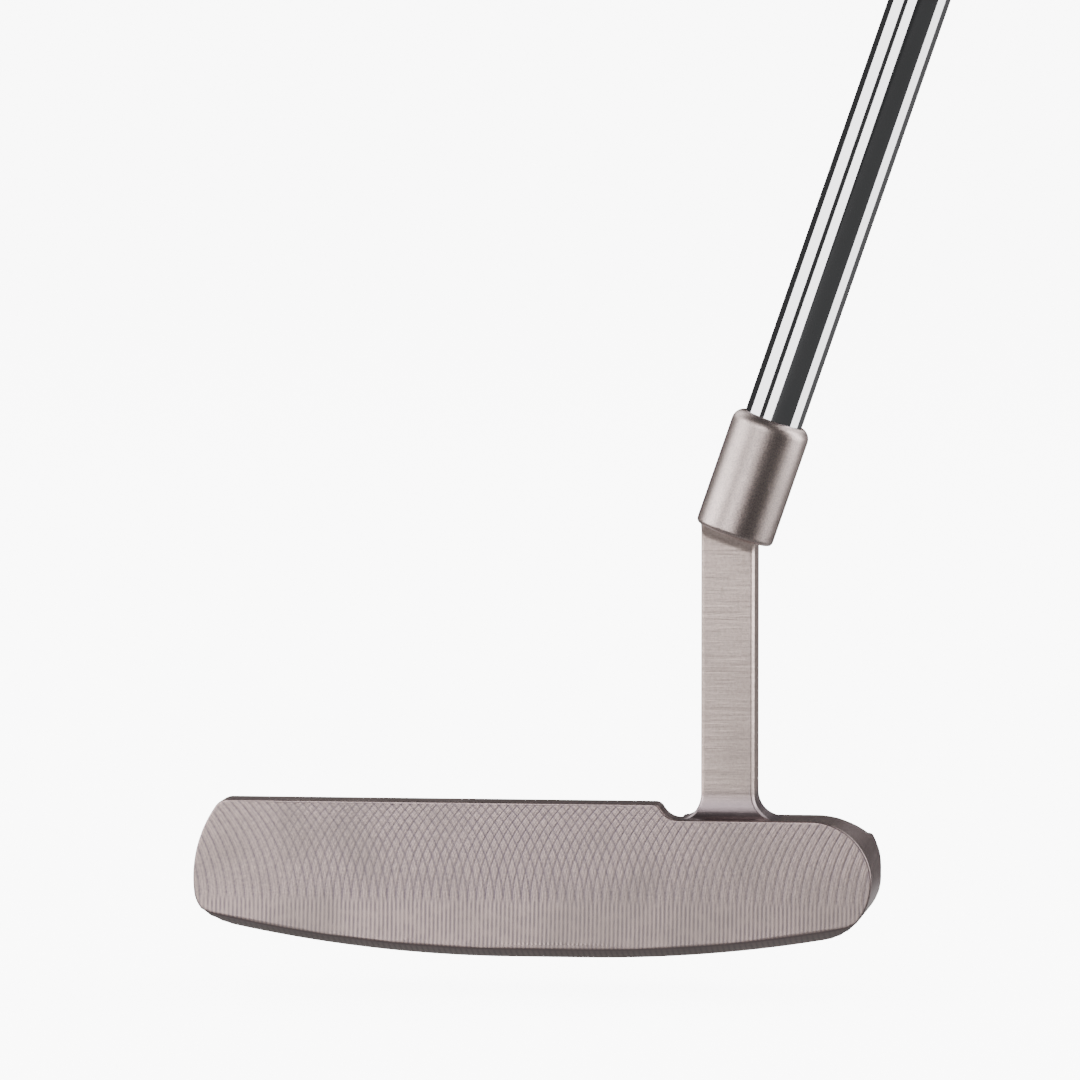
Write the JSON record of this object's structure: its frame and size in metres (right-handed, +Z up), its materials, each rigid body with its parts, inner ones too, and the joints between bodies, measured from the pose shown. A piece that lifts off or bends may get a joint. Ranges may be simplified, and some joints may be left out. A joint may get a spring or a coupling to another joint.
{
  "type": "blade putter",
  "caption": "Right-handed blade putter with a milled face, a plumber's neck, a bright stepless shaft, a pistol grip and screw-in sole weights.",
  "frame": {"origin": "middle of the small flat on the sole, where the putter rests at address", "axes": "+Z up from the sole; the face looks along -Y with the back along +Y; the toe is at -X and the heel, shaft and grip lie to +X"},
  "size_m": [0.3724, 0.0457, 0.8433],
  "materials": {
    "milled_steel": "satin, fly-milled",
    "blasted_steel": "satin, bead-blasted barrel and milled post",
    "chrome": "mirror-bright",
    "weight_steel": "turned, fine rings",
    "grip_rubber": "matte, fine texture",
    "cap_rubber": "smooth, hard",
    "seal_rubber": "matte",
    "cork": "raw cork",
    "tape": "matte paper tape",
    "line_paint": "enamel paint fill"
  },
  "bodies": {
    "club": {"head_body": "milled_steel", "sight_line_fill": "line_paint", "plumbers_neck": "blasted_steel", "shaft": "chrome", "shaft_tip_plug": "cork", "grip_tape": "tape", "grip_sleeve": "grip_rubber", "grip_end_cap": "cap_rubber"},
    "toe_seal": {"toe_weight_ring": "seal_rubber"},
    "toe_screw": {"toe_weight": "weight_steel"},
    "heel_seal": {"heel_weight_ring": "seal_rubber"},
    "heel_screw": {"heel_weight": "weight_steel"}
  },
  "joints": [
    {"name": "toe_weight_travel", "type": "slide", "parent": "club", "child": "toe_seal", "axis": [-0.1511, 0, -0.9885], "range_m": [0, 0.005]},
    {"name": "toe_weight_turn", "type": "hinge", "parent": "toe_seal", "child": "toe_screw", "pos_m": [-0.04, 0.0025, 0.00258], "axis": [-0.1511, 0, -0.9885], "range_deg": [0, 1801]},
    {"name": "heel_weight_travel", "type": "slide", "parent": "club", "child": "heel_seal", "axis": [0.1422, 0, -0.9898], "range_m": [0, 0.005]},
    {"name": "heel_weight_turn", "type": "hinge", "parent": "heel_seal", "child": "heel_screw", "pos_m": [0.038, 0.0025, 0.00229], "axis": [0.1422, 0, -0.9898], "range_deg": [0, 1801]}
  ],
  "couplings": [
    {"joint": "toe_weight_turn", "follows": "toe_weight_travel", "rad_per_m": 6283.2},
    {"joint": "heel_weight_turn", "follows": "heel_weight_travel", "rad_per_m": 6283.2}
  ]
}
